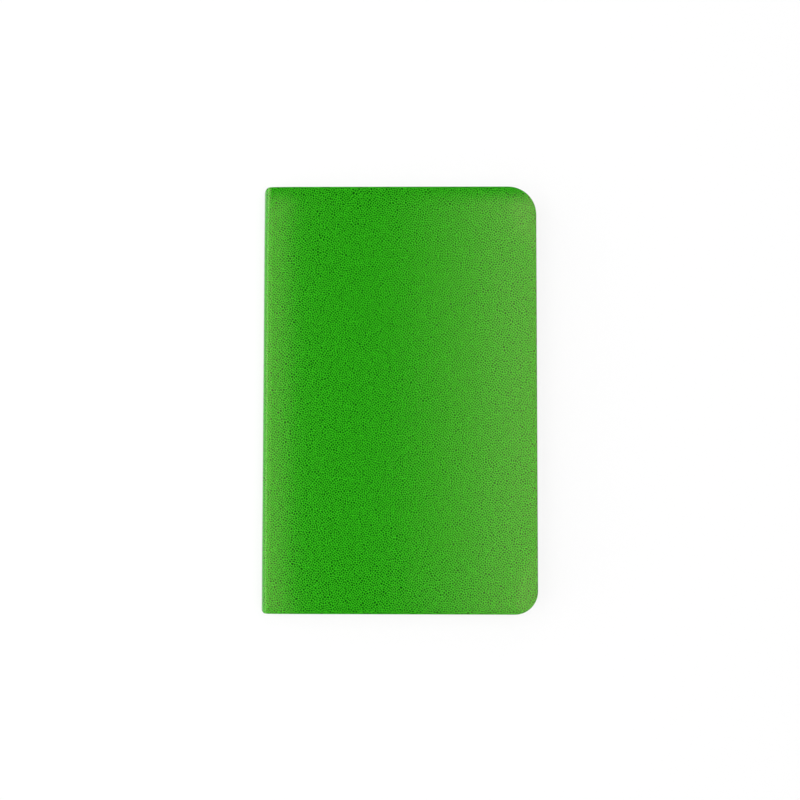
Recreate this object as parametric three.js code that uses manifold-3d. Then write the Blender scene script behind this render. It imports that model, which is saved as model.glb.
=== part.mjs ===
// A pocket notebook with a soft green leatherette cover and five thread-sewn sections.
// Units are millimetres. The notebook lies closed on its back cover.
// X runs from the spine to the fore-edge, Y from the tail to the head, Z up through the pages.
// The origin is under the middle of the back cover, on the surface that it lies on.
import * as THREE from 'three';
import { mergeVertices } from 'three/addons/utils/BufferGeometryUtils.js';
import Module from 'manifold-3d';

const wasm = await Module();
wasm.setup();

// Cover
const coverWidth = 90;
const coverHeight = 140;
const coverThickness = 0.7;
const headForeRadius = 9.3;
const tailForeRadius = 7.5;
const headSpineRadius = 2.1;
const tailSpineRadius = 1.6;
const spineRoundDepth = 3.5;
const foldLineInset = 5;

// Paper
const sectionCount = 5;
const sheetsPerSection = 4;
const leafThickness = 0.09;
const sheetGap = 0.02;
const foldOpening = 0.34;
const settleLength = 8;
const sectionGap = 0.04;
const endpaperThickness = 0.12;
const layerGap = 0.02;
const pageSquare = 1;
const splitGap = 0.02;
const endpaperHingeGap = 0.5;

// Spine lining
const liningThickness = 0.22;
const liningGap = 0.02;
const liningEndGap = 0.3;
const liningHeight = 134;

// Sewing
const threadRadius = 0.11;
const threadGap = 0.04;
const foldTipGap = 0.06;
const sewingHoleRadius = 0.24;
const threadBendRadius = 0.25;
const threadTail = 3;
const stationSpread = [8, 30, 58];

// Facets
const spineFacets = 24;
const foldFacets = 6;
const foreCornerFacets = 7;
const spineCornerFacets = 4;
const holeFacets = 6;
const threadSides = 8;
const threadBendFacets = 2;

// Places that follow from the sizes above
const spineX = -coverWidth / 2;
const foreX = coverWidth / 2;
const foldLineX = spineX + foldLineInset;
const roundCentreX = spineX + spineRoundDepth;
const sectionHalf = foldOpening / 2 + sheetsPerSection * leafThickness + (sheetsPerSection - 1) * sheetGap;
const sectionPitch = 2 * sectionHalf + sectionGap;
const leafPitch = sectionPitch / (2 * sheetsPerSection);
const blockThickness = sectionCount * sectionPitch - sectionGap;
const flyleafZ = coverThickness + endpaperThickness + layerGap;
const blockZ = flyleafZ + endpaperThickness + layerGap;
const totalThickness = 2 * blockZ + blockThickness;
const middleZ = totalThickness / 2;
const middleSection = (sectionCount - 1) / 2;
const threadSpace = 2 * (threadRadius + threadGap);
const liningOuter = coverThickness + liningGap;
const liningInner = liningOuter + liningThickness;
const stations = [...stationSpread.map((y) => -y).reverse(), ...stationSpread];

const finishes = {
  cover: { color: 0x309d16, roughness: 0.5, metalness: 0 },
  endpaper: { color: 0xf1eee4, roughness: 0.85, metalness: 0 },
  page: { color: 0xf6f3ea, roughness: 0.9, metalness: 0 },
  lining: { color: 0xe4ded0, roughness: 0.95, metalness: 0 },
  thread: { color: 0xfaf8f2, roughness: 0.7, metalness: 0 },
};

const notebook = new THREE.Group();

function addPiece(name, geometry, finish) {
  const mesh = new THREE.Mesh(geometry, new THREE.MeshStandardMaterial(finishes[finish]));
  mesh.name = name;
  notebook.add(mesh);
}

function toSolid(geometry) {
  const bare = geometry.clone();
  bare.deleteAttribute('normal');
  bare.deleteAttribute('uv');
  const merged = mergeVertices(bare, 1e-5);
  const mesh = new wasm.Mesh({
    numProp: 3,
    vertProperties: new Float32Array(merged.attributes.position.array),
    triVerts: new Uint32Array(merged.index.array),
  });
  return new wasm.Manifold(mesh);
}

function toGeometry(solid) {
  const mesh = solid.getMesh();
  const geometry = new THREE.BufferGeometry();
  geometry.setAttribute('position', new THREE.BufferAttribute(new Float32Array(mesh.vertProperties), 3));
  geometry.setIndex(new THREE.BufferAttribute(new Uint32Array(mesh.triVerts), 1));
  geometry.computeVertexNormals();
  return geometry;
}

function arcPoints(centreX, centreY, radiusX, radiusY, startAngle, endAngle, facets) {
  const points = [];
  for (let i = 0; i <= facets; i++) {
    const angle = startAngle + ((endAngle - startAngle) * i) / facets;
    points.push(new THREE.Vector2(centreX + radiusX * Math.cos(angle), centreY + radiusY * Math.sin(angle)));
  }
  return points;
}

// The outline of the cover seen face on, drawn in by the inset, from the left limit to the fore-edge.
// Its spine corners are rounded only where the outline reaches the spine.
function outlineShape(left, inset) {
  const right = foreX - inset;
  const head = coverHeight / 2 - inset;
  const headRadius = headForeRadius - inset;
  const tailRadius = tailForeRadius - inset;
  const points = [
    ...arcPoints(right - tailRadius, tailRadius - head, tailRadius, tailRadius, -Math.PI / 2, 0, foreCornerFacets),
    ...arcPoints(right - headRadius, head - headRadius, headRadius, headRadius, 0, Math.PI / 2, foreCornerFacets),
  ];
  if (left > spineX) {
    points.push(new THREE.Vector2(left, head), new THREE.Vector2(left, -head));
  } else {
    const headSpine = [left + headSpineRadius, head - headSpineRadius, headSpineRadius, headSpineRadius];
    const tailSpine = [left + tailSpineRadius, tailSpineRadius - head, tailSpineRadius, tailSpineRadius];
    points.push(...arcPoints(...headSpine, Math.PI / 2, Math.PI, spineCornerFacets));
    points.push(...arcPoints(...tailSpine, Math.PI, 1.5 * Math.PI, spineCornerFacets));
  }
  return new THREE.Shape(points);
}

// A flat layer of the notebook, such as a cover or an endpaper.
function flatLayer(left, inset, bottomZ, thickness) {
  const geometry = new THREE.ExtrudeGeometry(outlineShape(left, inset), { depth: thickness, bevelEnabled: false });
  return geometry.translate(0, 0, bottomZ);
}

// A profile drawn in X and Z, carried along Y.
function alongSpine(profile, length) {
  const geometry = new THREE.ExtrudeGeometry(new THREE.Shape(profile), { depth: length, bevelEnabled: false });
  return geometry.rotateX(Math.PI / 2).translate(0, length / 2, 0);
}

// One wall of the rounded spine, at a depth under the cover's outer face.
function spineWall(depth, right) {
  const radiusX = spineRoundDepth - depth;
  const radiusZ = middleZ - depth;
  return [
    new THREE.Vector2(right, totalThickness - depth),
    ...arcPoints(roundCentreX, middleZ, radiusX, radiusZ, Math.PI / 2, 1.5 * Math.PI, spineFacets),
    new THREE.Vector2(right, depth),
  ];
}

function spineShell(outerDepth, innerDepth, right, length) {
  return alongSpine([...spineWall(outerDepth, right), ...spineWall(innerDepth, right).reverse()], length);
}

function sectionZ(section) {
  return middleZ + (middleSection - section) * sectionPitch;
}

// How far left the lining's inner face reaches at a height.
function liningInnerX(z) {
  const share = (z - middleZ) / (middleZ - liningInner);
  return roundCentreX - (spineRoundDepth - liningInner) * Math.sqrt(Math.max(0, 1 - share * share));
}

// The centre of a section's fold: as far left as the rounded spine lets the fold and its thread go.
function foldCentreX(section) {
  let centre = -Infinity;
  for (const tip of arcPoints(0, sectionZ(section), sectionHalf, sectionHalf, Math.PI / 2, 1.5 * Math.PI, 24)) {
    const room = foldTipGap + (threadSpace - foldTipGap) * (-tip.x / sectionHalf);
    centre = Math.max(centre, liningInnerX(tip.y) + room - tip.x);
  }
  return centre;
}

const pageBlank = toSolid(flatLayer(spineX + pageSquare, pageSquare, 0, totalThickness));
const coverBlank = toSolid(flatLayer(spineX, 0, -1, totalThickness + 2));

function sewingHoles(section) {
  const length = sectionHalf + threadSpace;
  let holes = null;
  for (const y of stations) {
    const drill = new THREE.CylinderGeometry(sewingHoleRadius, sewingHoleRadius, length, holeFacets);
    drill.rotateZ(Math.PI / 2).translate(foldCentreX(section) - length / 2, y, sectionZ(section));
    holes = holes ? holes.add(toSolid(drill)) : toSolid(drill);
  }
  return holes;
}

// One folded sheet of a section, sheet 0 outermost: two leaves joined by a round fold, with sewing holes.
// The fold stands open round the thread, and the leaves settle to an even spacing towards the fore-edge.
function foldedSheet(section, sheet) {
  const innerRadius = foldOpening / 2 + (sheetsPerSection - 1 - sheet) * (leafThickness + sheetGap);
  const settledMiddle = (sheetsPerSection - sheet - 0.5) * leafPitch;
  const centreX = foldCentreX(section);
  const centreZ = sectionZ(section);
  const face = (radius, settled) => [
    new THREE.Vector2(foreX, centreZ + settled),
    new THREE.Vector2(centreX + settleLength, centreZ + settled),
    ...arcPoints(centreX, centreZ, radius, radius, Math.PI / 2, 1.5 * Math.PI, foldFacets),
    new THREE.Vector2(centreX + settleLength, centreZ - settled),
    new THREE.Vector2(foreX, centreZ - settled),
  ];
  const outerFace = face(innerRadius + leafThickness, settledMiddle + leafThickness / 2);
  const innerFace = face(innerRadius, settledMiddle - leafThickness / 2);
  const folded = toSolid(alongSpine([...outerFace, ...innerFace.reverse()], coverHeight));
  return folded.intersect(pageBlank).subtract(sewingHoles(section));
}

function halfSpace(side) {
  const box = new THREE.BoxGeometry(2 * coverWidth, 2 * coverHeight, totalThickness);
  return toSolid(box.translate(0, 0, middleZ + (side * (totalThickness + splitGap)) / 2));
}

// The thread of one section: it starts behind the fold, and goes in and out at each sewing station.
class SewingPath extends THREE.Curve {
  constructor(points) {
    super();
    this.points = points;
  }

  getUtoTmapping(u) {
    return u;
  }

  getPoint(t) {
    const place = Math.min(Math.max(t, 0), 1) * (this.points.length - 1);
    const index = Math.min(Math.floor(place), this.points.length - 2);
    return this.points[index].clone().lerp(this.points[index + 1], place - index);
  }

  getTangent(t) {
    const index = Math.round(t * (this.points.length - 1));
    const before = this.points[Math.max(index - 1, 0)];
    const here = this.points[index];
    const after = this.points[Math.min(index + 1, this.points.length - 1)];
    const arriving = here.clone().sub(before).normalize();
    const leaving = after.clone().sub(here).normalize();
    return arriving.add(leaving).normalize();
  }
}

function bendPoints(centreX, centreY, startAngle, endAngle, z) {
  const flat = arcPoints(
    centreX, centreY, threadBendRadius, threadBendRadius, startAngle, endAngle, threadBendFacets,
  );
  return flat.map((point) => new THREE.Vector3(point.x, point.y, z));
}

function sewingThread(section) {
  const z = sectionZ(section);
  const insideX = foldCentreX(section);
  const outsideX = insideX - sectionHalf - threadGap - threadRadius;
  const r = threadBendRadius;
  const points = [new THREE.Vector3(outsideX, stations[0] - threadTail, z)];
  stations.forEach((y, index) => {
    if (index % 2 === 0) {
      points.push(...bendPoints(outsideX + r, y - r, Math.PI, Math.PI / 2, z));
      points.push(...bendPoints(insideX - r, y + r, -Math.PI / 2, 0, z));
    } else {
      points.push(...bendPoints(insideX - r, y - r, 0, Math.PI / 2, z));
      points.push(...bendPoints(outsideX + r, y + r, 1.5 * Math.PI, Math.PI, z));
    }
  });
  points.push(new THREE.Vector3(outsideX, stations[stations.length - 1] + threadTail, z));
  const round = new THREE.Shape(arcPoints(0, 0, threadRadius, threadRadius, 0, 2 * Math.PI, threadSides).slice(1));
  return new THREE.ExtrudeGeometry(round, {
    steps: points.length - 1,
    bevelEnabled: false,
    extrudePath: new SewingPath(points),
  });
}

// The cover: one soft skin, in three pieces that meet at its two fold lines.
addPiece('front_cover', flatLayer(foldLineX, 0, totalThickness - coverThickness, coverThickness), 'cover');
addPiece('back_cover', flatLayer(foldLineX, 0, 0, coverThickness), 'cover');
const spineSkin = toSolid(spineShell(0, coverThickness, foldLineX, coverHeight)).intersect(coverBlank);
addPiece('spine_cover', toGeometry(spineSkin), 'cover');
addPiece('spine_lining', spineShell(liningOuter, liningInner, foldLineX - liningEndGap, liningHeight), 'lining');

// The endpapers: a pastedown glued to each cover, and a flyleaf tipped on to the pages beside it.
const frontPastedownZ = totalThickness - coverThickness - endpaperThickness;
const frontFlyleafZ = totalThickness - flyleafZ - endpaperThickness;
const endpaperLeft = foldLineX + endpaperHingeGap;
addPiece('front_pastedown', flatLayer(endpaperLeft, pageSquare, frontPastedownZ, endpaperThickness), 'endpaper');
addPiece('back_pastedown', flatLayer(endpaperLeft, pageSquare, coverThickness, endpaperThickness), 'endpaper');
addPiece('front_flyleaf', flatLayer(foldLineX, pageSquare, frontFlyleafZ, endpaperThickness), 'endpaper');
addPiece('back_flyleaf', flatLayer(foldLineX, pageSquare, flyleafZ, endpaperThickness), 'endpaper');

// The sections. The middle one's sheets are in two leaves each, because the notebook opens at its fold.
for (let section = 0; section < sectionCount; section++) {
  for (let sheet = 0; sheet < sheetsPerSection; sheet++) {
    const name = `section_${section + 1}_sheet_${sheet + 1}`;
    const folded = foldedSheet(section, sheet);
    if (section === middleSection) {
      addPiece(`${name}_front_leaf`, toGeometry(folded.intersect(halfSpace(1))), 'page');
      addPiece(`${name}_back_leaf`, toGeometry(folded.intersect(halfSpace(-1))), 'page');
    } else {
      addPiece(name, toGeometry(folded), 'page');
    }
  }
  addPiece(`sewing_thread_${section + 1}`, sewingThread(section), 'thread');
}

export default notebook;
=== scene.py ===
"""A pocket notebook with a soft, finely grained cover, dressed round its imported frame.

The cover is three skins that meet on the rounded spine, over folded endpapers, five thread-sewn
sections of four folded sheets and a woven spine lining. The classes that build these hold their
sizes in millimetres, and turn each mesh into metres. The finishes and the stage are in metres.
"""

import logging
import math
from dataclasses import astuple, dataclass, field
from enum import Enum
from typing import Sequence

import bmesh
import bpy
from mathutils import Matrix, Vector


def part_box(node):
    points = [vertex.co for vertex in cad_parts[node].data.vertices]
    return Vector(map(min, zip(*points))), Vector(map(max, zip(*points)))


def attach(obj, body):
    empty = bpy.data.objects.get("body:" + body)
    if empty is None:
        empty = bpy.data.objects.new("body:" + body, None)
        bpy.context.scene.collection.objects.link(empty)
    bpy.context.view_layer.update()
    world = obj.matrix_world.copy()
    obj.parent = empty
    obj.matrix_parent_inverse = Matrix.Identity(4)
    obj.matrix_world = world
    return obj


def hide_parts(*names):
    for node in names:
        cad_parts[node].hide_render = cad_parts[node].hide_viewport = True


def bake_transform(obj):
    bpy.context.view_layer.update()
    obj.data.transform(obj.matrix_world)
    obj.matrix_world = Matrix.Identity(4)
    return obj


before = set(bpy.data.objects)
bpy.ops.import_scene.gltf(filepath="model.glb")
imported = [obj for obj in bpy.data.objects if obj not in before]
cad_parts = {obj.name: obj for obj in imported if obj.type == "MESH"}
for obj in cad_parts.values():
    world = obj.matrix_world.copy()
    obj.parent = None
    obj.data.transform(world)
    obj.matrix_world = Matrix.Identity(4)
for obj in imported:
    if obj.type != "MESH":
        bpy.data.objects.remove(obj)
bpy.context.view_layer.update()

log = logging.getLogger("notebook")

MM = 0.001
REST_PLACE = "rest_place"
SKIN_PLACE = "skin_place"
QUARTER_TURN = math.pi / 2
SHARP_ANGLE = math.radians(40)
PAPER_ROWS = 4
SECTION_COUNT = 5
MIDDLE_SECTION = (SECTION_COUNT + 1) // 2
PLIES = 3
PLY_SIDES = 6
OVERHEAD_HEIGHT = 0.64
OVERHEAD_LENGTH = 0.9

# Nearly all values of a noise texture lie in this range.
NOISE_RANGE = (0.3, 0.7)

# How far the sewing holes lie from the middle of the spine, towards either end, in millimetres.
SEWING_REACHES = (8.0, 30.0, 58.0)

Point2 = tuple[float, float]
Point3 = tuple[float, float, float]
Color = tuple[float, float, float]
Material = bpy.types.Material
Socket = bpy.types.NodeSocket
Inputs = dict[str | int, object]


class Face(Enum):
    """Which material slot a face of a layer takes."""

    OUTER = 0
    INNER = 1
    EDGE = 2


class Side(Enum):
    """The front or the back of the notebook."""

    FRONT = "front"
    BACK = "back"

    @property
    def up(self) -> int:
        """1 for the front, which lies on top, and -1 for the back."""
        return 1 if self is Side.FRONT else -1


def steps(start: float, end: float, count: int) -> list[float]:
    """Gives the count + 1 values that divide a stretch into equal parts, with both its ends."""
    return [start + (end - start) * index / count for index in range(count + 1)]


# Places read from the frame


def node_box(node: str) -> tuple[Vector, Vector]:
    """Gives the lowest and the highest corner of a frame node at rest, in millimetres."""
    low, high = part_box(node)
    return Vector(low) / MM, Vector(high) / MM


def middle_height(node: str) -> float:
    """Gives the height of the middle of a frame node at rest, in millimetres."""
    low, high = node_box(node)
    return (low.z + high.z) / 2


@dataclass(frozen=True)
class Corners:
    """The radii of a flat layer's four corners."""

    head_fore: float = 0.0
    tail_fore: float = 0.0
    head_spine: float = 0.0
    tail_spine: float = 0.0

    def inset(self, margin: float) -> "Corners":
        """Gives the corners of the same layer drawn in by a margin."""
        return Corners(*(max(radius - margin, 0.0) for radius in astuple(self)))


@dataclass(frozen=True)
class PlanOutline:
    """The outline of a flat layer seen from above, with a radius at each corner."""

    spine_x: float
    fore_x: float
    half_height: float
    corners: Corners = Corners()
    corner_steps: int = 14

    def inset(self, margin: float) -> "PlanOutline":
        """Gives the same outline drawn in by a margin.

        Args:
            margin: How far the new outline lies inside this one.

        Returns:
            The smaller outline.
        """
        half_height = self.half_height - margin
        corners = self.corners.inset(margin)
        return PlanOutline(self.spine_x + margin, self.fore_x - margin, half_height, corners)

    def corner_drop(self, x: float, fore: float, spine: float) -> float:
        """Gives how far a rounded corner lies inside the straight edge at one x.

        Args:
            x: The place across the layer.
            fore: The radius at the fore-edge corner.
            spine: The radius at the spine corner.

        Returns:
            The drop from the straight edge.
        """
        past = max(x - (self.fore_x - fore), (self.spine_x + spine) - x, 0.0)
        radius = fore if x > 0 else spine
        past = min(past, radius)
        return radius - math.sqrt(max(radius * radius - past * past, 0.0))

    def span(self, x: float) -> tuple[float, float]:
        """Gives the tail and head ends of the layer at one x.

        Args:
            x: The place across the layer.

        Returns:
            The lowest and highest y.
        """
        corners = self.corners
        tail = -self.half_height + self.corner_drop(x, corners.tail_fore, corners.tail_spine)
        head = self.half_height - self.corner_drop(x, corners.head_fore, corners.head_spine)
        return tail, head

    def fore_stations(self) -> list[float]:
        """Gives the places across the fore-edge corners, close together where they turn most.

        Returns:
            Places from the start of the larger corner to the fore-edge.
        """
        radius = max(self.corners.head_fore, self.corners.tail_fore)
        turns = steps(0.0, QUARTER_TURN, self.corner_steps)
        return [self.fore_x - radius + radius * math.sin(turn) for turn in turns]


@dataclass(frozen=True)
class BookLayout:
    """The notebook's main places, read from the frame, with the sizes that the boxes don't give."""

    spine_x: float
    fore_x: float
    half_height: float
    thickness: float
    cover_thickness: float
    round_depth: float = 3.5
    corners: Corners = Corners(head_fore=9.3, tail_fore=7.5, head_spine=2.1, tail_spine=1.6)
    page_square: float = 1.0
    front_bend: Point2 = (0.8, 3.5)
    bend_length: float = 5.0
    bend_step: float = 0.15

    @classmethod
    def from_frame(cls) -> "BookLayout":
        """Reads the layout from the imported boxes.

        Returns:
            The layout.
        """
        low, high = node_box("spine_cover")
        _, front_high = node_box("front_cover")
        back_low, back_high = node_box("back_cover")
        return cls(low.x, front_high.x, high.y, high.z, back_high.z - back_low.z)

    @property
    def middle_z(self) -> float:
        """The middle of the thickness."""
        return self.thickness / 2

    @property
    def round_x(self) -> float:
        """Where the flat covers end and the rounded spine starts."""
        return self.spine_x + self.round_depth

    @property
    def cover_outline(self) -> PlanOutline:
        """The outline that the cover is cut to."""
        return PlanOutline(self.spine_x, self.fore_x, self.half_height, self.corners)

    @property
    def page_outline(self) -> PlanOutline:
        """The outline that the pages are cut to."""
        return self.cover_outline.inset(self.page_square)

    def front_bend_ends(self) -> tuple[Vector, Vector]:
        """Gives where the front cover starts and ends to bend as it opens, in metres."""
        start, end = (Vector(((self.round_x + reach) * MM, 0, 0)) for reach in self.front_bend)
        return start, end

    def bend_stations(self, start_x: float) -> list[float]:
        """Gives places across a layer, close enough together for it to bend with its cover."""
        return steps(start_x, start_x + self.bend_length, round(self.bend_length / self.bend_step))

    def spine_point(self, depth: float, turn: float) -> Point2:
        """Gives a point on the rounded spine.

        Args:
            depth: How deep the point lies under the cover's outer face.
            turn: 0 where the back cover ends, pi where the front cover starts.

        Returns:
            Its x and z.
        """
        across = (self.round_depth - depth) * math.sin(turn)
        up = (self.middle_z - depth) * math.cos(turn)
        return self.round_x - across, self.middle_z - up


# Mesh tools


def ring_side(index: int, outer_count: int, total: int) -> Face:
    """Says which side of a layer's ring a face lies on.

    Args:
        index: The face's place round the ring.
        outer_count: How many points the outer face has.
        total: How many points the whole ring has.

    Returns:
        The side.
    """
    if index < outer_count - 1:
        return Face.OUTER
    if index in (outer_count - 1, total - 1):
        return Face.EDGE
    return Face.INNER


def layer_mesh(
    outer: Sequence[Point2], inner: Sequence[Point2], outline: PlanOutline, rows: int = 8
) -> bmesh.types.BMesh:
    """Builds a closed layer from the two faces of its profile, cut to an outline seen from above.

    Args:
        outer: The x and z of the outer face, from one end to the other.
        inner: The x and z of the inner face, in the same order.
        outline: The outline that gives the tail and head ends at each x.
        rows: How many faces lie between the tail and the head.

    Returns:
        The mesh, in millimetres, with its faces marked by side.
    """
    mesh = bmesh.new()
    ring = list(outer) + list(reversed(inner))
    total = len(ring)
    grid = []
    for x, z in ring:
        tail, head = outline.span(x)
        grid.append([mesh.verts.new((x, y, z)) for y in steps(tail, head, rows)])
    for index in range(total):
        here = grid[index]
        after = grid[(index + 1) % total]
        side = ring_side(index, len(outer), total)
        for row in range(rows):
            face = mesh.faces.new((here[row], here[row + 1], after[row + 1], after[row]))
            face.material_index = side.value
    for index in range(len(outer) - 1):
        other = total - 1 - index
        for row in (0, rows):
            corners = (grid[index][row], grid[index + 1][row], grid[other - 1][row], grid[other][row])
            face = mesh.faces.new(corners)
            face.material_index = Face.EDGE.value
    bmesh.ops.recalc_face_normals(mesh, faces=mesh.faces)
    return mesh


def new_object(name: str, data: bpy.types.ID) -> bpy.types.Object:
    """Adds an object to the scene.

    Args:
        name: The object's name.
        data: Its mesh, light or camera.

    Returns:
        The object.
    """
    added = bpy.data.objects.new(name, data)
    bpy.context.scene.collection.objects.link(added)
    return added


def mesh_object(name: str, mesh: bmesh.types.BMesh) -> bpy.types.Object:
    """Turns a mesh into an object of the scene.

    Args:
        name: The object's name.
        mesh: The mesh, which is freed.

    Returns:
        The object.
    """
    data = bpy.data.meshes.new(name)
    mesh.to_mesh(data)
    mesh.free()
    return new_object(name, data)


def finished_object(
    name: str,
    mesh: bmesh.types.BMesh,
    materials: Sequence[Material],
    drill: bpy.types.Object | None = None,
) -> bpy.types.Object:
    """Turns a mesh in millimetres into a finished object in metres.

    Args:
        name: The object's name.
        mesh: The mesh, which is freed.
        materials: The materials, in the order of the faces' slots.
        drill: A closed shape in millimetres to cut away, if any. It is used up.

    Returns:
        The object, at the origin, with its rest place kept on its points.
    """
    piece = mesh_object(name, mesh)
    for material in materials:
        piece.data.materials.append(material)
    if drill:
        holes = piece.modifiers.new("sewing_holes", "BOOLEAN")
        holes.object = drill
        apply_modifiers(piece)
        bpy.data.meshes.remove(drill.data)
    piece.data.transform(Matrix.Scale(MM, 4))
    keep_rest_place(piece)
    piece.data.shade_smooth()
    piece.data.set_sharp_from_angle(angle=SHARP_ANGLE)
    return piece


def apply_modifiers(piece: bpy.types.Object) -> None:
    """Replaces an object's mesh by its mesh with all modifiers applied.

    Args:
        piece: The object.
    """
    bpy.context.view_layer.update()
    evaluated = piece.evaluated_get(bpy.context.evaluated_depsgraph_get())
    before = piece.data
    after = bpy.data.meshes.new_from_object(evaluated)
    piece.modifiers.clear()
    piece.data = after
    after.name = before.name
    bpy.data.meshes.remove(before)


def keep_rest_place(piece: bpy.types.Object) -> None:
    """Writes each point's place at rest into an attribute, so that a grain bends with its piece.

    Args:
        piece: The object.
    """
    data = piece.data
    attribute = data.attributes.get(REST_PLACE) or data.attributes.new(REST_PLACE, "FLOAT_VECTOR", "POINT")
    for vertex in data.vertices:
        attribute.data[vertex.index].vector = vertex.co


# Finishes


class TreeBench:
    """Builds a node tree with short calls."""

    def __init__(self, tree: bpy.types.NodeTree) -> None:
        """Starts to work on a tree."""
        self.tree = tree

    def add(self, kind: str, inputs: Inputs | None = None, **settings: object) -> bpy.types.Node:
        """Adds a node.

        Args:
            kind: The node's type.
            inputs: Values or output sockets for its inputs, by name or number.
            **settings: Properties to set on the node first.

        Returns:
            The new node.
        """
        node = self.tree.nodes.new(kind)
        for key, value in settings.items():
            setattr(node, key, value)
        for key, value in (inputs or {}).items():
            self.feed(node.inputs[key], value)
        return node

    def feed(self, socket: Socket, value: object) -> None:
        """Sets an input to a value, or links it from an output.

        Args:
            socket: The input.
            value: A plain value or an output socket.
        """
        if isinstance(value, Socket):
            self.tree.links.new(value, socket)
        else:
            socket.default_value = value

    def math(self, operation: str, first: object, second: object = 0.0) -> Socket:
        """Gives the result of one sum on two values."""
        return self.add("ShaderNodeMath", {0: first, 1: second}, operation=operation).outputs[0]

    def vector_math(self, operation: str, inputs: Inputs) -> Socket:
        """Gives the vector that comes from one sum on vectors."""
        return self.add("ShaderNodeVectorMath", inputs, operation=operation).outputs[0]


class MaterialBench(TreeBench):
    """Builds one material's node tree with short calls."""

    def __init__(self, name: str) -> None:
        """Starts a new material.

        Args:
            name: The material's name.
        """
        self.material = bpy.data.materials.new(name)
        self.material.use_nodes = True
        super().__init__(self.material.node_tree)
        self.shader = self.tree.nodes["Principled BSDF"]

    def place(self, name: str = REST_PLACE) -> Socket:
        """Gives a place kept on the surface's points: its place at rest, unless another is named."""
        return self.add("ShaderNodeAttribute", attribute_name=name).outputs["Vector"]

    def noise(self, vector: object, scale: float, detail: float) -> Socket:
        """Gives smooth noise from 0 to 1."""
        inputs = {"Vector": vector, "Scale": scale, "Detail": detail}
        return self.add("ShaderNodeTexNoise", inputs).outputs["Fac"]

    def fibres(self, scale: Point3, detail: float) -> Socket:
        """Gives noise with its own scale along each axis, which draws it out into fibres."""
        drawn = self.add("ShaderNodeMapping", {"Vector": self.place(), "Scale": scale})
        return self.noise(drawn.outputs["Vector"], 1.0, detail)

    def remap(
        self, value: object, low: float, high: float, to_low: float = 0.0, to_high: float = 1.0
    ) -> Socket:
        """Gives a value moved from one range to another and kept inside it."""
        inputs = {"Value": value, "From Min": low, "From Max": high, "To Min": to_low, "To Max": to_high}
        return self.add("ShaderNodeMapRange", inputs).outputs["Result"]

    def blend(self, factor: object, low: object, high: object) -> Socket:
        """Gives a colour between two, by a factor.

        Args:
            factor: 0 for the first colour, 1 for the second.
            low: The first colour, or an output socket that gives it.
            high: The second colour, or an output socket that gives it.

        Returns:
            The mixed colour.
        """
        first, second = (color if isinstance(color, Socket) else (*color, 1.0) for color in (low, high))
        # In the Mix node, inputs 6 and 7 and output 2 are those for colours.
        return self.add("ShaderNodeMix", {0: factor, 6: first, 7: second}, data_type="RGBA").outputs[2]

    def bump(self, height: object, distance: float) -> Socket:
        """Gives a normal bent by a height."""
        return self.add("ShaderNodeBump", {"Height": height, "Distance": distance}).outputs["Normal"]

    def dress(self, **sockets: object) -> Material:
        """Sets the shader's inputs.

        Args:
            **sockets: Values or outputs by the input's name, with _ for each space.

        Returns:
            The finished material.
        """
        for key, value in sockets.items():
            self.feed(self.shader.inputs[key.replace("_", " ")], value)
        return self.material


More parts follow.
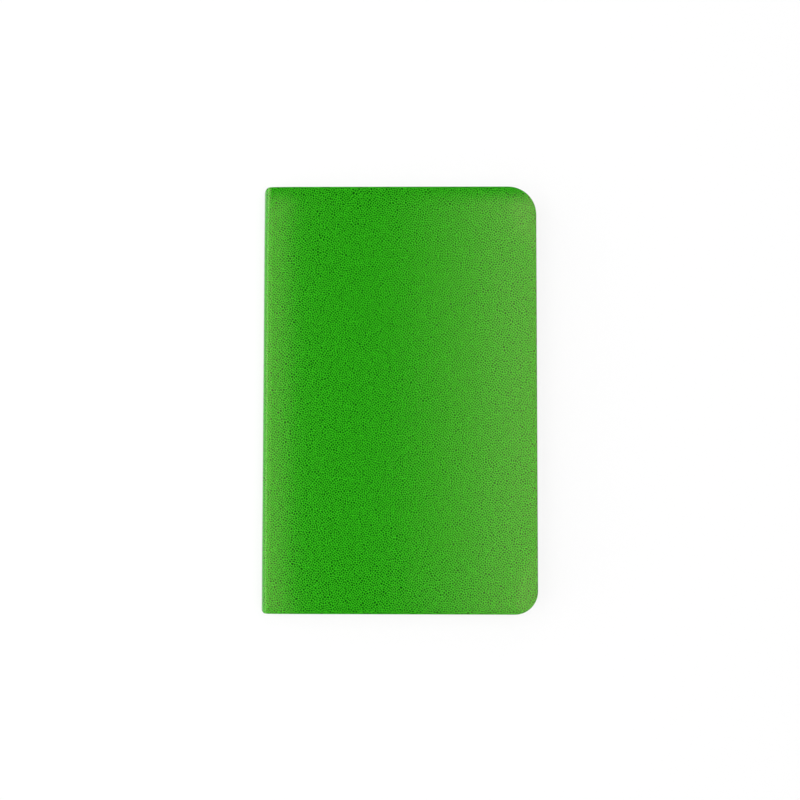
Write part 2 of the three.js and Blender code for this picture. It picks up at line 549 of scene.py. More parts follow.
@dataclass(frozen=True)
class Leatherette:
    """Coated cover cloth with a fine grain of small pits between ridges. The pits are darker, partly in the
    grain's own tone and partly as painted shade in the hollows; the tops of the ridges carry a painted glint,
    a paler colour that stands in for small highlights.

    The slope width, the wander and its length are counted in pit spacings.
    """

    # The pit colour is the grain's own darker tone, deepened by painted shade in the hollows.
    pit: Color = (0.0002, 0.040, 0.0001)
    ridge: Color = (0.0195, 0.447, 0.0056)
    # Painted glint: a paler colour blended onto the highest ridges, standing in for small highlights.
    painted_glint: Color = (0.080, 0.750, 0.022)
    painted_glint_share: float = 0.6
    painted_glint_power: float = 4.0
    pit_spacing: float = 0.00070
    pit_scatter: float = 0.8
    slope_width: float = 0.31
    wander: float = 1.6
    wander_length: float = 4.0
    row_turn: float = math.radians(40)
    fine_scale: float = 4.0
    fine_share: float = 0.25
    grain_depth: float = 0.000007
    roughness: float = 0.10
    roughness_spread: float = 0.03
    gloss_tint: Color = (1.0, 0.93, 0.45)

    def warped(self, bench: MaterialBench, place: Socket) -> Socket:
        """Gives the place with small wanderings, so that the rows of pits bend.

        Args:
            bench: The material's tree.
            place: The surface's place at rest.

        Returns:
            The moved place.
        """
        scale = 1 / (self.pit_spacing * self.wander_length)
        warp = bench.add("ShaderNodeTexNoise", {"Vector": place, "Scale": scale, "Detail": 1.0})
        reach = (self.pit_spacing * self.wander,) * 3
        return bench.vector_math("MULTIPLY_ADD", {0: warp.outputs["Color"], 1: reach, 2: place})

    def material(self) -> Material:
        """Builds the material.

        Returns:
            The material.
        """
        bench = MaterialBench("grained_leatherette")
        turn = {"Vector": bench.place(SKIN_PLACE), "Rotation": (0, 0, self.row_turn)}
        place = bench.add("ShaderNodeMapping", turn).outputs["Vector"]
        net = {
            "Vector": self.warped(bench, place),
            "Scale": 1 / self.pit_spacing,
            "Randomness": self.pit_scatter,
        }
        cells = bench.add("ShaderNodeTexVoronoi", net, feature="DISTANCE_TO_EDGE", voronoi_dimensions="2D")
        rise = bench.remap(cells.outputs["Distance"], 0.0, self.slope_width, 1.0, 0.0)
        fine = bench.noise(place, self.fine_scale / self.pit_spacing, 2.0)
        height = bench.math("ADD", rise, bench.math("MULTIPLY", fine, self.fine_share))
        # Painted glint: the tops of the ridges are blended towards a paler colour that stands in for small
        # highlights.
        painted_glint_mask = bench.math("MULTIPLY", bench.math("POWER", rise, self.painted_glint_power), self.painted_glint_share)
        spread = self.roughness_spread
        # The base colour runs from the pits, darker partly as painted shade, up to the ridges, with the
        # painted glint on their tops.
        return bench.dress(
            Base_Color=bench.blend(painted_glint_mask, bench.blend(rise, self.pit, self.ridge), self.painted_glint),
            Roughness=bench.remap(fine, *NOISE_RANGE, self.roughness - spread, self.roughness + spread),
            Specular_Tint=(*self.gloss_tint, 1.0),
            Normal=bench.bump(height, self.grain_depth),
        )


@dataclass(frozen=True)
class CutEdge:
    """The cut edge and the back of the cover cloth, with short fibres."""

    low: Color = (0.020, 0.190, 0.008)
    high: Color = (0.050, 0.300, 0.020)
    fibre_scale: Point3 = (3000.0, 3000.0, 9000.0)
    fibre_depth: float = 0.00003
    roughness: float = 0.8

    def material(self) -> Material:
        """Builds the material.

        Returns:
            The material.
        """
        bench = MaterialBench("cover_cut_edge")
        fibres = bench.fibres(self.fibre_scale, 3.0)
        color = bench.blend(bench.remap(fibres, *NOISE_RANGE), self.low, self.high)
        normal = bench.bump(fibres, self.fibre_depth)
        return bench.dress(Base_Color=color, Roughness=self.roughness, Normal=normal)


@dataclass(frozen=True)
class Paper:
    """Plain uncoated paper with a soft fibre and a faint cloudy formation."""

    name: str
    low: Color
    high: Color
    fibre_scale: Point3 = (2600.0, 1100.0, 2600.0)
    fibre_depth: float = 0.00002
    cloud_scale: float = 420.0
    tone_range: Point2 = (0.35, 0.65)
    roughness: float = 0.86
    roughness_spread: float = 0.05

    def material(self) -> Material:
        """Builds the material.

        Returns:
            The material.
        """
        bench = MaterialBench(self.name)
        fibre = bench.fibres(self.fibre_scale, 4.0)
        cloud = bench.noise(bench.place(), self.cloud_scale, 3.0)
        tone = bench.math("ADD", bench.math("MULTIPLY", fibre, 0.5), bench.math("MULTIPLY", cloud, 0.5))
        color = bench.blend(bench.remap(tone, *self.tone_range), self.low, self.high)
        spread = self.roughness_spread
        rough = bench.remap(fibre, *NOISE_RANGE, self.roughness - spread, self.roughness + spread)
        return bench.dress(Base_Color=color, Roughness=rough, Normal=bench.bump(fibre, self.fibre_depth))


@dataclass(frozen=True)
class WovenLining:
    """Open-weave lining cloth, stiffened with glue."""

    yarn: Color = (0.80, 0.77, 0.68)
    gap: Color = (0.46, 0.42, 0.34)
    yarn_pitch: float = 0.0006
    yarn_depth: float = 0.00008
    roughness: float = 0.9

    def material(self) -> Material:
        """Builds the material.

        Returns:
            The material.
        """
        bench = MaterialBench("woven_lining")
        parts = bench.add("ShaderNodeSeparateXYZ", {"Vector": bench.place()})
        yarns = []
        for axis in ("Z", "Y"):
            turn = bench.math("MULTIPLY", parts.outputs[axis], math.pi / self.yarn_pitch)
            yarns.append(bench.math("ABSOLUTE", bench.math("SINE", turn)))
        weave = bench.math("MAXIMUM", *yarns)
        color = bench.blend(bench.remap(weave, 0.5, 1.0), self.gap, self.yarn)
        normal = bench.bump(weave, self.yarn_depth)
        return bench.dress(Base_Color=color, Roughness=self.roughness, Normal=normal)


@dataclass(frozen=True)
class WaxedThread:
    """Waxed sewing thread."""

    low: Color = (0.72, 0.69, 0.62)
    high: Color = (0.93, 0.91, 0.86)
    fibre_scale: Point3 = (22000.0, 6000.0, 22000.0)
    fibre_depth: float = 0.00002
    roughness: float = 0.55
    sheen: float = 0.15

    def material(self) -> Material:
        """Builds the material.

        Returns:
            The material.
        """
        bench = MaterialBench("waxed_thread")
        fibre = bench.fibres(self.fibre_scale, 2.0)
        return bench.dress(
            Base_Color=bench.blend(bench.remap(fibre, *NOISE_RANGE), self.low, self.high),
            Roughness=self.roughness,
            Sheen_Weight=self.sheen,
            Normal=bench.bump(fibre, self.fibre_depth),
        )


@dataclass
class FinishSet:
    """All the notebook's materials, made once."""

    leatherette: Material = field(default_factory=Leatherette().material)
    cut_edge: Material = field(default_factory=CutEdge().material)
    endpaper: Material = field(
        default_factory=Paper("endpaper", low=(0.80, 0.76, 0.68), high=(0.87, 0.84, 0.76)).material
    )
    page: Material = field(
        default_factory=Paper("page_paper", low=(0.83, 0.80, 0.73), high=(0.90, 0.88, 0.82)).material
    )
    lining: Material = field(default_factory=WovenLining().material)
    thread: Material = field(default_factory=WaxedThread().material)


# The cover


@dataclass
class SoftCover:
    """The cover: a front, a back and a spine skin that meet on the rounded spine."""

    layout: BookLayout
    finishes: FinishSet
    seam_turn: float = math.radians(30)
    seam_steps: int = 24
    spine_steps: int = 96
    dip_depth: float = 0.3
    dip_length: float = 11.0
    dip_steps: int = 16
    flat_steps: int = 12
    back_bend: Point2 = (1.0, -1.6)
    edge_rounding: float = 0.12
    rounded_from: float = math.radians(40)

    def dip(self, x: float) -> float:
        """Gives how far the outer face lies under the flat cover's face at one place across it."""
        share = min(max(1 - (x - self.layout.round_x) / self.dip_length, 0.0), 1.0)
        return self.dip_depth * share * share

    def flat_stations(self) -> list[float]:
        """Gives the places across a flat panel, close together where the skin bends.

        Returns:
            Places from the rounded spine to the fore-edge.
        """
        layout = self.layout
        dip_end = layout.round_x + self.dip_length
        bending = layout.bend_stations(layout.round_x)
        corner = layout.cover_outline.fore_stations()
        dipping = steps(bending[-1], dip_end, self.dip_steps)[1:]
        flat = steps(dip_end, corner[0], self.flat_steps)[1:-1]
        return bending + dipping + flat + corner

    def panel_face(self, depth: float, side: Side) -> list[Point2]:
        """Gives one face of the front or back skin, from the seam to the fore-edge.

        Args:
            depth: How deep the face lies under the cover's outer face.
            side: Which of the two skins it is.

        Returns:
            The face's x and z.
        """
        layout = self.layout
        turns = steps(self.seam_turn, 0.0, self.seam_steps)[:-1]
        is_front = side is Side.FRONT
        rounded = [self.dipped_spine_point(depth, math.pi - turn if is_front else turn) for turn in turns]
        share = 1 - depth / layout.cover_thickness
        sunk = [(x, depth + share * self.dip(x)) for x in self.flat_stations()]
        return rounded + [(x, layout.thickness - down if is_front else down) for x, down in sunk]

    def dipped_spine_point(self, depth: float, turn: float) -> Point2:
        """Gives a point on the rounded spine, drawn in to meet the dipped covers.

        Args:
            depth: How deep the point lies under the cover's outer face.
            turn: 0 where the back cover ends, pi where the front cover starts.

        Returns:
            Its x and z.
        """
        layout = self.layout
        x, z = layout.spine_point(depth, turn)
        share = 1 - depth / layout.cover_thickness
        middle = layout.middle_z
        return x, middle + (z - middle) * (1 - share * self.dip_depth / middle)

    def panel(self, name: str, side: Side) -> bpy.types.Object:
        """Builds the front or the back skin.

        Args:
            name: The piece's name.
            side: Which of the two it is.

        Returns:
            The skin.
        """
        outer = self.panel_face(0.0, side)
        inner = self.panel_face(self.layout.cover_thickness, side)
        return self.skin(name, outer, inner)

    def skin(self, name: str, outer: Sequence[Point2], inner: Sequence[Point2]) -> bpy.types.Object:
        """Builds one skin, and lays its grain round the spine.

        Args:
            name: The piece's name.
            outer: The x and z of the outer face.
            inner: The x and z of the inner face.

        Returns:
            The skin.
        """
        mesh = layer_mesh(outer, inner, self.layout.cover_outline)
        self.round_free_edges(mesh)
        materials = (self.finishes.leatherette, self.finishes.cut_edge, self.finishes.cut_edge)
        piece = finished_object(name, mesh, materials)
        attribute = piece.data.attributes.new(SKIN_PLACE, "FLOAT_VECTOR", "POINT")
        for vertex in piece.data.vertices:
            x, y, z = vertex.co / MM
            attribute.data[vertex.index].vector = (self.unrolled(x, z) * MM, y * MM, 0.0)
        log.info("%s built", name)
        return piece

    def round_free_edges(self, mesh: bmesh.types.BMesh) -> None:
        """Rounds a skin's edges, apart from those at its seams, where the next skin carries on.

        Args:
            mesh: The skin's mesh in millimetres.
        """
        seams = set()
        for face in mesh.faces:
            is_seam = face.material_index == Face.EDGE.value and abs(face.normal.y) < 0.5
            if is_seam and face.calc_center_median().x < self.layout.round_x:
                seams.update(face.edges)
        bends = [edge for edge in mesh.edges if edge.calc_face_angle() > self.rounded_from]
        free = [edge for edge in bends if edge not in seams]
        bmesh.ops.bevel(mesh, geom=free, offset=self.edge_rounding, segments=2, profile=0.5, affect="EDGES")

    def unrolled(self, x: float, z: float) -> float:
        """Gives how far a point lies along the cover, unrolled from the front over the spine to the back.

        Args:
            x: The point's place across the cover.
            z: Its height.

        Returns:
            The distance from the front's rounded edge, positive on the front.
        """
        layout = self.layout
        mean_radius = (layout.round_depth + layout.middle_z) / 2
        if x < layout.round_x:
            return -mean_radius * math.atan2(layout.round_x - x, z - layout.middle_z)
        if z > layout.middle_z:
            return x - layout.round_x
        return layout.round_x - x - mean_radius * math.pi

    def spine(self, name: str) -> bpy.types.Object:
        """Builds the skin round the spine, between its seams with the front and the back.

        Args:
            name: The piece's name.

        Returns:
            The skin.
        """
        layout = self.layout
        turns = steps(self.seam_turn, math.pi - self.seam_turn, self.spine_steps)
        outer = [self.dipped_spine_point(0.0, turn) for turn in turns]
        inner = [self.dipped_spine_point(layout.cover_thickness, turn) for turn in turns]
        return self.skin(name, outer, inner)

    def build(self) -> None:
        """Builds the three skins."""
        layout = self.layout
        faces = (0.0, layout.cover_thickness)
        seam_low = max(self.dipped_spine_point(depth, self.seam_turn)[1] for depth in faces)

        front = self.panel("front_cover_skin", Side.FRONT)
        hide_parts("front_cover")
        start, end = layout.front_bend_ends()
        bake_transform(front)

        back = self.panel("back_cover_skin", Side.BACK)
        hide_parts("back_cover")
        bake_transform(back)

        spine = self.spine("spine_skin")
        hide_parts("spine_cover")
        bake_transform(spine)


# The endpapers


@dataclass
class Endpaper:
    """One endpaper: a sheet folded once, glued to a cover on one side and tipped to the pages on the other.

    The front one is in two leaves, which meet at the fold.
    """

    layout: BookLayout
    finishes: FinishSet
    side: Side
    fold_rows: int = 10
    fold_share: float = 0.02
    arc_steps: int = 6
    leaf_steps: int = 10

    def stations(self, fold_x: float) -> list[float]:
        """Gives the places across a leaf, close together just past the fold.

        Args:
            fold_x: The centre of the fold.

        Returns:
            Places from just past the fold to the fore-edge.
        """
        corner = self.layout.page_outline.fore_stations()
        bending = self.layout.bend_stations(fold_x)[1:]
        return bending + steps(bending[-1], corner[0], self.leaf_steps)[1:-1] + corner

    def profile(self, spread: float, pastedown_z: float, flyleaf_z: float, fold_x: float) -> list[Point2]:
        """Gives one face of the folded sheet, from the pastedown's fore-edge to the flyleaf's.

        Args:
            spread: How far the face lies outside the middle of the sheet.
            pastedown_z: The middle of the pastedown.
            flyleaf_z: The middle of the flyleaf.
            fold_x: The centre of the fold.

        Returns:
            The face's x and z.
        """
        middle = (pastedown_z + flyleaf_z) / 2
        half = (pastedown_z - flyleaf_z) / 2
        outward = spread * math.copysign(1, half)
        stations = self.stations(fold_x)
        radius = abs(half) + spread
        # The points round the fold lie closest in the narrow band where the sheet bends as it opens.
        inner_band = abs(half) * self.fold_share
        rises = [radius * math.cos(turn) for turn in steps(0.0, QUARTER_TURN, self.arc_steps)]
        rises = [rise for rise in rises if rise > inner_band]
        rises += steps(inner_band, -inner_band, self.fold_rows)
        rises += [-rise for rise in reversed(rises) if rise > inner_band]
        fold = []
        for rise in rises:
            reach = math.sqrt(max(radius * radius - rise * rise, 0.0))
            fold.append((fold_x - reach, middle + math.copysign(1, half) * rise))
        upper = [(x, pastedown_z + outward) for x in reversed(stations)]
        lower = [(x, flyleaf_z - outward) for x in stations]
        return upper + fold + lower

    def paper(
        self, name: str, nodes: Sequence[str], outer: Sequence[Point2], inner: Sequence[Point2]
    ) -> bpy.types.Object:
        """Builds the paper along a stretch of the profile.

        Args:
            name: The piece's name.
            nodes: The frame nodes that it replaces.
            outer: The x and z of the outer face.
            inner: The x and z of the inner face.

        Returns:
            The paper.
        """
        mesh = layer_mesh(outer, inner, self.layout.page_outline, PAPER_ROWS)
        piece = finished_object(name, mesh, (self.finishes.endpaper,) * 3)
        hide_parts(*nodes)
        log.info("%s built", name)
        return piece

    def build(self) -> None:
        """Builds the endpaper, and sets the front flyleaf to ride with the front half of the block."""
        fly_low, fly_high = node_box(f"{self.side.value}_flyleaf")
        thickness = fly_high.z - fly_low.z
        pastedown_z = middle_height(f"{self.side.value}_pastedown")
        flyleaf_z = middle_height(f"{self.side.value}_flyleaf")
        fold_x = fly_low.x + abs(pastedown_z - flyleaf_z) / 2 + thickness / 2
        outer = self.profile(thickness / 2, pastedown_z, flyleaf_z, fold_x)
        inner = self.profile(-thickness / 2, pastedown_z, flyleaf_z, fold_x)
        if self.side is Side.FRONT:
            fold = len(outer) // 2
            halves = (outer[: fold + 1], inner[: fold + 1])
            pastedown = self.paper("front_pastedown_paper", ["front_pastedown"], *halves)
            start, end = self.layout.front_bend_ends()
            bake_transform(pastedown)
            flyleaf = self.paper("front_flyleaf_paper", ["front_flyleaf"], outer[fold:], inner[fold:])
            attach(flyleaf, "front_half")
            return
        sheet = self.paper("back_endpaper", ["back_pastedown", "back_flyleaf"], outer, inner)
        middle = (pastedown_z + flyleaf_z) / 2
        band = (pastedown_z - flyleaf_z) / 2 * self.fold_share
        start = (0, 0, (middle + band) * MM)
        end = (0, 0, (middle - band) * MM)
        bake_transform(sheet)


# The sewn sections


def sewing_stations() -> list[float]:
    """Gives the places of the sewing holes along the spine, from the tail to the head."""
    return sorted([-y for y in SEWING_REACHES] + list(SEWING_REACHES))


def half_of_block(section: int) -> str:
    """Gives the body that a section's whole sheets and thread ride on."""
    return "front_half" if section < MIDDLE_SECTION else "back_half"


def eased(start: float, end: float, part: float) -> float:
    """Gives a height between two, with a smooth start and end."""
    return start + (end - start) * part * part * (3 - 2 * part)


@dataclass
class FoldedSheet:
    """One sheet of a section, folded round the sewing thread, with sewing holes through the fold."""

    layout: BookLayout
    outer_radius: float
    thickness: float
    fold_x: float
    fold_z: float
    settled: float
    settle_length: float = 8.0
    settle_steps: int = 6
    half_fold_steps: int = 6
    leaf_steps: int = 10
    hole_radius: float = 0.24
    hole_sides: int = 10

    def drill(self) -> bpy.types.Object:
        """Builds the shape that cuts the sheet's sewing holes: a round bar at each station.

        Returns:
            The bars as one object, in millimetres.
        """
        start_x = self.fold_x - self.outer_radius - self.thickness
        turn = Matrix.Rotation(QUARTER_TURN, 4, "Y")
        bars = bmesh.new()
        for y in sewing_stations():
            bmesh.ops.create_cone(
                bars,
                cap_ends=True,
                segments=self.hole_sides,
                radius1=self.hole_radius,
                radius2=self.hole_radius,
                depth=self.fold_x - start_x,
                matrix=Matrix.Translation(((start_x + self.fold_x) / 2, y, self.fold_z)) @ turn,
            )
        return mesh_object("sewing_drill", bars)

    def face(self, radius: float, settled: float, leaves: Sequence[Side]) -> list[Point2]:
        """Gives one face of the sheet.

        Args:
            radius: The face's radius at the fold.
            settled: The face's height over the fold's middle once the leaves have settled.
            leaves: The leaves to build, the front one first.

        Returns:
            The face's x and z, from the first leaf's fore-edge to the second's, or to the fold if it has one.
        """
        settle_x = self.fold_x + self.settle_length
        corner = self.layout.page_outline.fore_stations()
        run_in = steps(0.0, 1.0, self.settle_steps)[1:]
        rest = steps(settle_x, corner[0], self.leaf_steps)[1:-1] + corner
        turns = steps(0.0, QUARTER_TURN, self.half_fold_steps)
        leaf = [(self.fold_x - radius * math.cos(turn), radius * math.sin(turn)) for turn in turns]
        leaf += [(self.fold_x + self.settle_length * part, eased(radius, settled, part)) for part in run_in]
        leaf += [(x, settled) for x in rest]
        halves = [[(x, side.up * rise) for x, rise in leaf] for side in leaves]
        path = list(reversed(halves[0]))
        if len(halves) == 2:
            path += halves[1][1:]
        return [(x, self.fold_z + rise) for x, rise in path]

    def mesh(self, leaves: Sequence[Side]) -> bmesh.types.BMesh:
        """Builds the sheet's closed mesh.

        Args:
            leaves: The leaves to build, as for face.

        Returns:
            The mesh, in millimetres.
        """
        outer = self.face(self.outer_radius, self.settled + self.thickness / 2, leaves)
        inner = self.face(self.outer_radius - self.thickness, self.settled - self.thickness / 2, leaves)
        return layer_mesh(outer, inner, self.layout.page_outline, PAPER_ROWS)


@dataclass
class SewnSections:
    """The five sections of four sheets."""

    layout: BookLayout
    finishes: FinishSet
    sheets: int = 4
    thickness: float = 0.09
    fold_band: float = 0.35

    def section_pitch(self) -> float:
        """Gives the distance from one section to the next."""
        return middle_height("section_1_sheet_1") - middle_height("section_2_sheet_1")

    def settled_height(self, sheet: int) -> float:
        """Gives how far a sheet's leaves settle from the middle of their section."""
        leaf_pitch = self.section_pitch() / (2 * self.sheets)
        return (self.sheets - sheet + 0.5) * leaf_pitch

    def folded(self, node: str, sheet: int, fold_z: float) -> FoldedSheet:
        """Gives a sheet, folded where a frame node has its fold.

        Args:
            node: The frame node.
            sheet: The sheet's number, 1 outermost.
            fold_z: The height of the fold's middle.

        Returns:
            The sheet.
        """
        low, high = node_box(node)
        radius = high.z - fold_z
        settled = self.settled_height(sheet)
        return FoldedSheet(self.layout, radius, self.thickness, low.x + radius, fold_z, settled)

    def paper(self, name: str, fold: FoldedSheet, leaves: Sequence[Side]) -> bpy.types.Object:
        """Builds a sheet's paper, with its sewing holes cut.

        Args:
            name: The sheet's or the leaf's name.
            fold: The sheet.
            leaves: The leaves to build, as for FoldedSheet.face.

        Returns:
            The paper.
        """
        materials = (self.finishes.page,) * 3
        piece = finished_object(f"{name}_paper", fold.mesh(leaves), materials, drill=fold.drill())
        log.info("%s built", piece.name)
        return piece

    def whole_sheet(self, section: int, sheet: int) -> None:
        """Builds one folded sheet that rides with its half of the block.

        Args:
            section: The section's number, 1 at the front.
            sheet: The sheet's number, 1 outermost.
        """
        name = f"section_{section}_sheet_{sheet}"
        fold = self.folded(name, sheet, middle_height(name))
        piece = self.paper(name, fold, tuple(Side))
        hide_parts(name)
        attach(piece, half_of_block(section))

    def middle_sheet(self, name: str, sheet: int) -> FoldedSheet:
        """Gives a sheet of the middle section, whose leaves are two frame nodes."""
        return self.folded(f"{name}_front_leaf", sheet, self.layout.middle_z)

    def opening_sheet(self, sheet: int) -> None:
        """Builds a whole sheet of the middle section.

        Args:
            sheet: The sheet's number, 1 outermost.
        """
        name = f"section_{MIDDLE_SECTION}_sheet_{sheet}"
        fold = self.middle_sheet(name, sheet)
        piece = self.paper(name, fold, tuple(Side))
        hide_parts(f"{name}_front_leaf", f"{name}_back_leaf")
        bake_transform(piece)

    def lifting_leaves(self, sheet: int, place: str) -> None:
        """Builds the two leaves of a sheet of the middle section that lift by themselves.

        Args:
            sheet: The sheet's number, 1 outermost.
            place: What the leaves' bodies are named after.
        """
        name = f"section_{MIDDLE_SECTION}_sheet_{sheet}"
        fold = self.middle_sheet(name, sheet)
        for side in Side:
            piece = self.paper(f"{name}_{side.value}_leaf", fold, (side,))
            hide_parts(f"{name}_{side.value}_leaf")
            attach(piece, f"{place}_{side.value}_leaf")

    def build(self) -> None:
        """Builds every sheet of every section."""
        for section in range(1, SECTION_COUNT + 1):
            if section == MIDDLE_SECTION:
                continue
            for sheet in range(1, self.sheets + 1):
                self.whole_sheet(section, sheet)
        self.opening_sheet(1)
        self.opening_sheet(2)
        self.lifting_leaves(3, "third")
        self.lifting_leaves(4, "centre")


# The spine lining and the sewing


@dataclass
class SpineLining:
    """The woven cloth glued inside the spine, behind the sections."""

    layout: BookLayout
    finishes: FinishSet
    thickness: float = 0.22
    turns: int = 40
    flange_steps: int = 4

    def build(self) -> None:
        """Builds the lining."""
        layout = self.layout
        low, high = node_box("spine_lining")
        faces = []
        for face_depth in (low.z, low.z + self.thickness):
            arc = [layout.spine_point(face_depth, turn) for turn in steps(0.0, math.pi, self.turns)]
            lead = [(x, face_depth) for x in steps(high.x, layout.round_x, self.flange_steps)[:-1]]
            flange = steps(layout.round_x, high.x, self.flange_steps)[1:]
            tail = [(x, layout.thickness - face_depth) for x in flange]
            faces.append(lead + arc + tail)
        mesh = layer_mesh(*faces, PlanOutline(layout.spine_x, layout.fore_x, high.y))
        piece = finished_object("spine_lining_cloth", mesh, (self.finishes.lining,) * 3)
        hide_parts("spine_lining")
        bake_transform(piece)
        log.info("%s built", piece.name)


@dataclass
class SewingThread:
    """One section's thread, in and out through the sewing holes of its fold."""

    layout: BookLayout
    finishes: FinishSet
    number: int
    bend_radius: float = 0.25
    bend_steps: int = 5
    ply_share: float = 0.52
    twist_pitch: float = 1.1
    sample_length: float = 0.16

    def waypoints(self) -> tuple[list[Vector], float]:
        """Gives the corners of the thread's way, and its radius.

        Returns:
            The corners in millimetres from the tail to the head, and the thread's radius.
        """
        low, high = node_box(f"sewing_thread_{self.number}")
        radius = (high.z - low.z) / 2
        z = (low.z + high.z) / 2
        behind = low.x + radius
        inside = high.x - radius
        corners = [Vector((behind, low.y, z))]
        is_inside = False
        for y in sewing_stations():
            corners.append(Vector((inside if is_inside else behind, y, z)))
            is_inside = not is_inside
            corners.append(Vector((inside if is_inside else behind, y, z)))
        corners.append(Vector((behind, high.y, z)))
        return corners, radius

    def path(self, corners: Sequence[Vector]) -> list[Vector]:
        """Rounds the corners of the thread's way.

        Args:
            corners: The way's corners.

        Returns:
            The points of the rounded way.
        """
        points = [corners[0]]
        for before, here, after in zip(corners, corners[1:], corners[2:]):
            arriving = (here - before).normalized()
            leaving = (after - here).normalized()
            start = here - arriving * self.bend_radius
            end = here + leaving * self.bend_radius
            for part in steps(0.0, 1.0, self.bend_steps):
                points.append(start.lerp(here, part).lerp(here.lerp(end, part), part))
        points.append(corners[-1])
        return points

    def build(self, tree: bpy.types.GeometryNodeTree) -> None:
        """Builds the twisted thread along its way.

        Args:
            tree: The node tree that twists plies along a curve.
        """
        corners, radius = self.waypoints()
        places = [point * MM for point in self.path(corners)]
        name = f"sewing_thread_{self.number}_twist"
        data = bpy.data.meshes.new(name)
        data.from_pydata(places, [(index, index + 1) for index in range(len(places) - 1)], [])
        piece = new_object(name, data)
        modifier = piece.modifiers.new("twist", "NODES")
        modifier.node_group = tree
        values = {
            "Ply Radius": radius * self.ply_share * MM,
            "Ply Offset": radius * (1 - self.ply_share) * MM,
            "Twist Pitch": self.twist_pitch * MM,
            "Sample Length": self.sample_length * MM,
            "Material": self.finishes.thread,
        }
        set_tree_inputs(modifier, values)
        apply_modifiers(piece)
        # The tree's result has an empty material slot before the thread's own.
        piece.data.materials.clear()
        piece.data.materials.append(self.finishes.thread)
        keep_rest_place(piece)
        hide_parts(f"sewing_thread_{self.number}")
        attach(piece, half_of_block(self.number))
        log.info("%s built", name)


def set_tree_inputs(modifier: bpy.types.NodesModifier, values: dict[str, object]) -> None:
    """Sets a node modifier's inputs by their sockets' identifiers.

    Args:
        modifier: The modifier.
        values: The values, by the sockets' names.
    """
    for item in modifier.node_group.interface.items_tree:
        if item.item_type == "SOCKET" and item.in_out == "INPUT" and item.name in values:
            modifier[item.identifier] = values[item.name]


def twist_tree() -> bpy.types.GeometryNodeTree:
    """Builds the node tree that winds plies round a curve.

    Returns:
        The tree.
    """
    tree = bpy.data.node_groups.new("twisted_plies", "GeometryNodeTree")
    face = tree.interface
    face.new_socket("Geometry", in_out="INPUT", socket_type="NodeSocketGeometry")
    for name in ("Ply Radius", "Ply Offset", "Twist Pitch", "Sample Length"):
        face.new_socket(name, in_out="INPUT", socket_type="NodeSocketFloat")
    face.new_socket("Material", in_out="INPUT", socket_type="NodeSocketMaterial")
    face.new_socket("Geometry", in_out="OUTPUT", socket_type="NodeSocketGeometry")

    bench = TreeBench(tree)
    given = bench.add("NodeGroupInput").outputs
    curve = bench.add("GeometryNodeMeshToCurve", {"Mesh": given["Geometry"]}).outputs[0]
    sampling = {"Curve": curve, "Length": given["Sample Length"]}
    way = bench.add("GeometryNodeResampleCurve", sampling, mode="LENGTH").outputs[0]
    section = {"Resolution": PLY_SIDES, "Radius": given["Ply Radius"]}
    circle = bench.add("GeometryNodeCurvePrimitiveCircle", section).outputs[0]

    along = bench.add("GeometryNodeSplineParameter").outputs["Length"]
    turns = bench.math("DIVIDE", along, given["Twist Pitch"])
    normal = bench.add("GeometryNodeInputNormal").outputs[0]
    tangent = bench.add("GeometryNodeInputTangent").outputs[0]
    across = bench.vector_math("CROSS_PRODUCT", {0: tangent, 1: normal})
    join = bench.add("GeometryNodeJoinGeometry")
    for ply in range(PLIES):
        angle = bench.math("MULTIPLY", bench.math("ADD", turns, ply / PLIES), math.tau)
        shares = []
        for wave, direction in (("COSINE", normal), ("SINE", across)):
            reach = bench.math("MULTIPLY", bench.math(wave, angle), given["Ply Offset"])
            shares.append(bench.vector_math("SCALE", {0: direction, "Scale": reach}))
        offset = bench.vector_math("ADD", {0: shares[0], 1: shares[1]})
        moved = bench.add("GeometryNodeSetPosition", {"Geometry": way, "Offset": offset}).outputs[0]
        sweep = {"Curve": moved, "Profile Curve": circle, "Fill Caps": True}
        bench.feed(join.inputs[0], bench.add("GeometryNodeCurveToMesh", sweep).outputs[0])
    real = bench.add("GeometryNodeRealizeInstances", {0: join.outputs[0]}).outputs[0]
    smooth = bench.add("GeometryNodeSetShadeSmooth", {"Geometry": real}).outputs[0]
    finish = {"Geometry": smooth, "Material": given["Material"]}
    bench.add("NodeGroupOutput", {0: bench.add("GeometryNodeSetMaterial", finish).outputs[0]})
    return tree


# The stage


@dataclass(frozen=True)
class Softbox:
    """One soft rectangular light, aimed at the notebook's middle unless a target is given."""

    name: str
    place: Point3
    size: Point2
    power: float
    target: Point3 = (0, 0, 0)

    @classmethod
    def overhead(cls, name: str, x: float, width: float, power: float) -> "Softbox":
        """Gives a light straight over one place across the notebook."""
        return cls(name, (x, 0, OVERHEAD_HEIGHT), (width, OVERHEAD_LENGTH), power, (x, 0, 0))

    def hang(self) -> None:
        """Adds the light to the scene."""
        data = bpy.data.lights.new(self.name, "AREA")
        data.shape = "RECTANGLE"
        data.size, data.size_y = self.size
        data.energy = self.power
        light = new_object(self.name, data)
        light.location = self.place
        aim = Vector(self.target) - Vector(self.place)
        light.rotation_euler = aim.to_track_quat("-Z", "Y").to_euler()


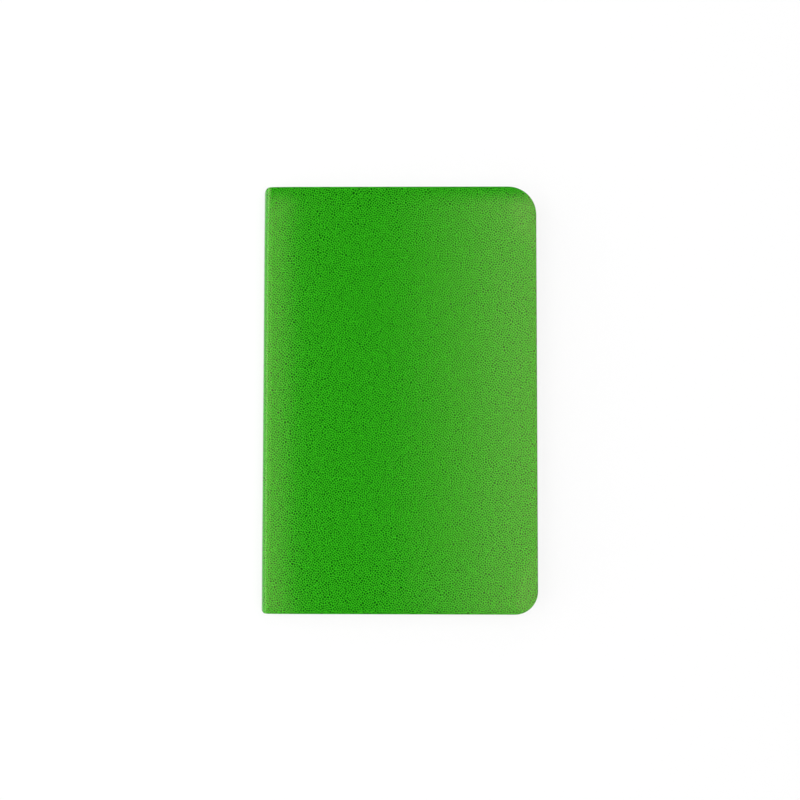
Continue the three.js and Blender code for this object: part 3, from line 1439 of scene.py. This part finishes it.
@dataclass
class Studio:
    """The floor, the lights, the world and the camera."""

    layout: BookLayout
    camera_distance: float = 0.40
    camera_tilt: float = math.radians(3.18)
    camera_lean: float = math.radians(0.75)
    camera_roll: float = math.radians(0.085)
    camera_aim: Point2 = (0.00024, -0.00051)
    field_width: float = 0.26134
    sensor_width: float = 36.0
    floor_half: float = 3.0
    floor_glow: float = 0.8
    world_level: float = 0.04
    softboxes: tuple[Softbox, ...] = (
        Softbox.overhead("right_faint", 0.014, 0.028, 0.0143),
        Softbox.overhead("right_near", 0.046, 0.032, 0.104),
        Softbox.overhead("right_middle", 0.079, 0.034, 0.144),
        Softbox.overhead("right_far", 0.298, 0.404, 2.86),
        Softbox.overhead("left_faint", -0.1425, 0.045, 0.064),
        Softbox.overhead("left_overhead", -0.3775, 0.425, 2.35),
        Softbox("left_shoulder", (-0.85, 0, 0.55), (1.6, 0.54), 4.2),
        Softbox("left_side", (-0.85, 0, 0.15), (1.6, 0.3), 4.6),
        Softbox("head_side", (0, 0.8, 0.5), (0.9, 0.5), 1.9),
        Softbox("tail_side", (0, -0.8, 0.5), (0.9, 0.5), 1.9),
    )

    def floor(self) -> None:
        """Lays the plain white floor under the notebook."""
        half = self.floor_half
        data = bpy.data.meshes.new("floor")
        corners = [(-half, -half, 0), (half, -half, 0), (half, half, 0), (-half, half, 0)]
        data.from_pydata(corners, [], [(0, 1, 2, 3)])
        floor = new_object("floor", data)
        bench = MaterialBench("white_floor")
        bench.dress(Base_Color=(0.9, 0.9, 0.9, 1.0), Roughness=0.9)
        ray = bench.add("ShaderNodeLightPath").outputs
        glow = bench.add("ShaderNodeEmission", {"Color": (1, 1, 1, 1), "Strength": 1.0})
        seen = bench.math("MAXIMUM", ray["Is Camera Ray"], ray["Is Glossy Ray"])
        share = bench.math("MULTIPLY", seen, self.floor_glow)
        mix = bench.add("ShaderNodeMixShader", {0: share, 1: bench.shader.outputs[0], 2: glow.outputs[0]})
        bench.feed(bench.tree.nodes["Material Output"].inputs["Surface"], mix.outputs[0])
        data.materials.append(bench.material)

    def world(self) -> None:
        """Sets the plain surroundings, white where the camera sees them."""
        world = bpy.data.worlds.new("plain_world")
        bpy.context.scene.world = world
        world.use_nodes = True
        bench = TreeBench(world.node_tree)
        background = bench.tree.nodes["Background"]
        background.inputs["Color"].default_value = (1, 1, 1, 1)
        seen = bench.add("ShaderNodeLightPath").outputs["Is Camera Ray"]
        strength = bench.add("ShaderNodeMix", {"A": self.world_level, "B": 1.0, "Factor": seen})
        bench.feed(background.inputs["Strength"], strength.outputs["Result"])

    def camera(self) -> None:
        """Sets up the camera of the reference view."""
        data = bpy.data.cameras.new("camera")
        data.sensor_width = self.sensor_width
        data.lens = self.sensor_width * self.camera_distance / self.field_width
        data.clip_start = 0.01
        camera = new_object("camera", data)
        target = Vector((*self.camera_aim, self.layout.thickness * MM))
        away = Vector((math.tan(self.camera_lean), -math.tan(self.camera_tilt), 1)).normalized()
        camera.location = target + away * self.camera_distance
        right = Vector((0, 1, 0)).cross(away).normalized()
        upright = Matrix((right, away.cross(right), away)).transposed()
        camera.rotation_euler = (upright @ Matrix.Rotation(self.camera_roll, 3, "Z")).to_euler()
        bpy.context.scene.camera = camera

    def build(self) -> None:
        """Builds the whole stage."""
        self.floor()
        self.world()
        for softbox in self.softboxes:
            softbox.hang()
        self.camera()


def main() -> None:
    """Builds the notebook on its frame, and the stage round it."""
    logging.basicConfig(level=logging.INFO, format="%(name)s: %(message)s")
    bpy.context.scene.view_settings.view_transform = "Standard"
    layout = BookLayout.from_frame()
    finishes = FinishSet()
    Studio(layout).build()
    SoftCover(layout, finishes).build()
    Endpaper(layout, finishes, Side.FRONT).build()
    Endpaper(layout, finishes, Side.BACK).build()
    SewnSections(layout, finishes).build()
    SpineLining(layout, finishes).build()
    tree = twist_tree()
    for number in range(1, SECTION_COUNT + 1):
        SewingThread(layout, finishes, number).build(tree)


if __name__ == "__main__":
    main()
